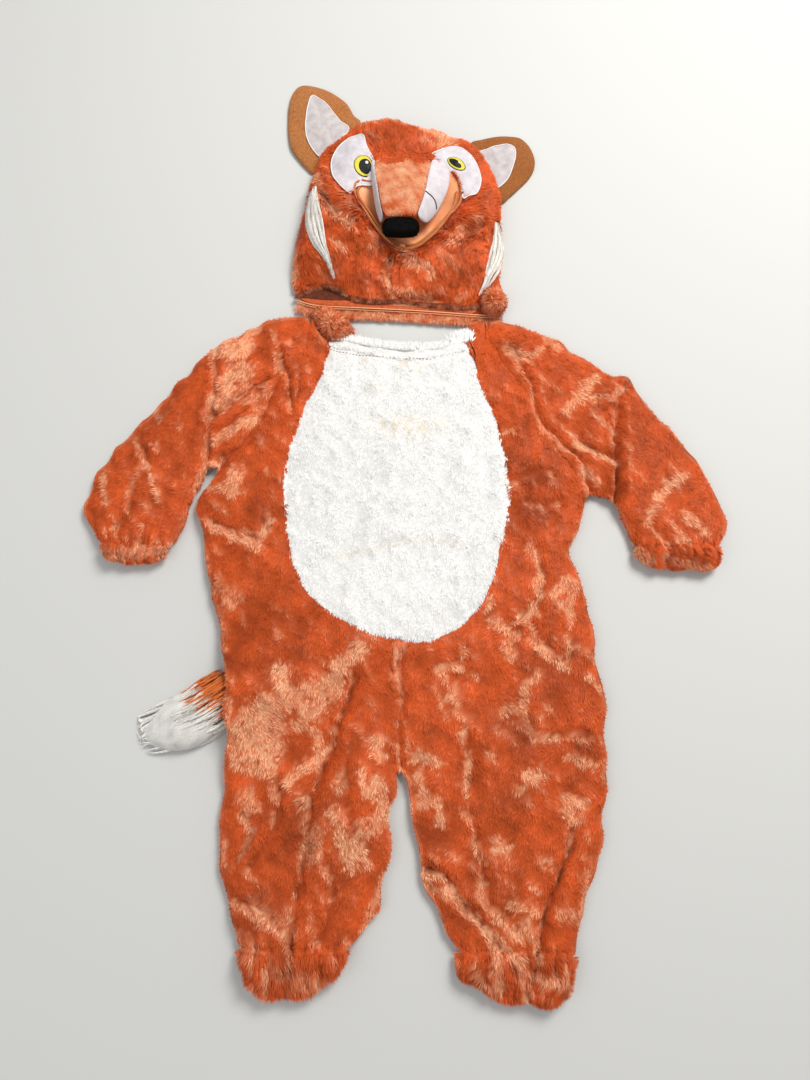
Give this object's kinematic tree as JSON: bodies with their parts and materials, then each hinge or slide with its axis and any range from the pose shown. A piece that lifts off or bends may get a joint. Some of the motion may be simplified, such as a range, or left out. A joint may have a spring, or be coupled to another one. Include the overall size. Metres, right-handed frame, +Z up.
{
  "type": "fox costume",
  "caption": "Small child's plush fox costume laid out flat: a jumpsuit with a cream belly and a tail, and a fox-head hood above its neck.",
  "frame": {"origin": "middle of the outline's box, on the surface that the costume lies on", "axes": "+Y from the legs up to the hood, +Z up from the surface, +X to the right as seen from above"},
  "size_m": [0.7379, 1.0862, 0.06],
  "materials": {
    "orange_plush": "dense deep-orange plush with a satin sheen along its nap",
    "cream_plush": "curly off-white plush",
    "white_pile": "long white pile in loose locks",
    "snout_plush": "short light-orange plush",
    "white_felt": "short brushed white velour",
    "ear_felt": "brown-orange suede-like felt",
    "black_plush": "short black plush",
    "eye_stitch": "satin-stitched eye in yellow and black",
    "lining": "knitted peach backing and hem facing"
  },
  "bodies": {
    "root": {"front_left": "orange_plush", "front_right": "orange_plush", "belly": "cream_plush", "neck_band": "cream_plush", "back_left": "orange_plush", "back_right": "orange_plush", "sleeve_left_front": "orange_plush", "sleeve_left_back": "orange_plush", "sleeve_right_front": "orange_plush", "sleeve_right_back": "orange_plush", "cuff_left_front": "orange_plush", "cuff_left_back": "orange_plush", "cuff_right_front": "orange_plush", "cuff_right_back": "orange_plush", "leg_cuff_left_front": "orange_plush", "leg_cuff_left_back": "orange_plush", "leg_cuff_right_front": "orange_plush", "leg_cuff_right_back": "orange_plush", "neck_roll": "orange_plush", "tail": "orange_plush", "tail_tip": "white_pile", "hood_head": "orange_plush", "hood_neck_left": "orange_plush", "hood_neck_right": "orange_plush", "hood_back": "orange_plush", "hood_hem_facing": "lining", "hood_corner_roll": "orange_plush", "face_binding": "ear_felt", "eye_patch_left": "white_felt", "eye_patch_right": "white_felt", "cheek_lock_left": "white_pile", "cheek_lock_right": "white_pile", "eye_left": "eye_stitch", "eye_right": "eye_stitch", "snout_top": "snout_plush", "snout_side_left": "white_felt", "snout_side_right": "white_felt", "nose": "black_plush", "ear_left": "ear_felt", "ear_left_inner": "white_felt", "ear_right": "ear_felt", "ear_right_inner": "white_felt"}
  },
  "joints": []
}
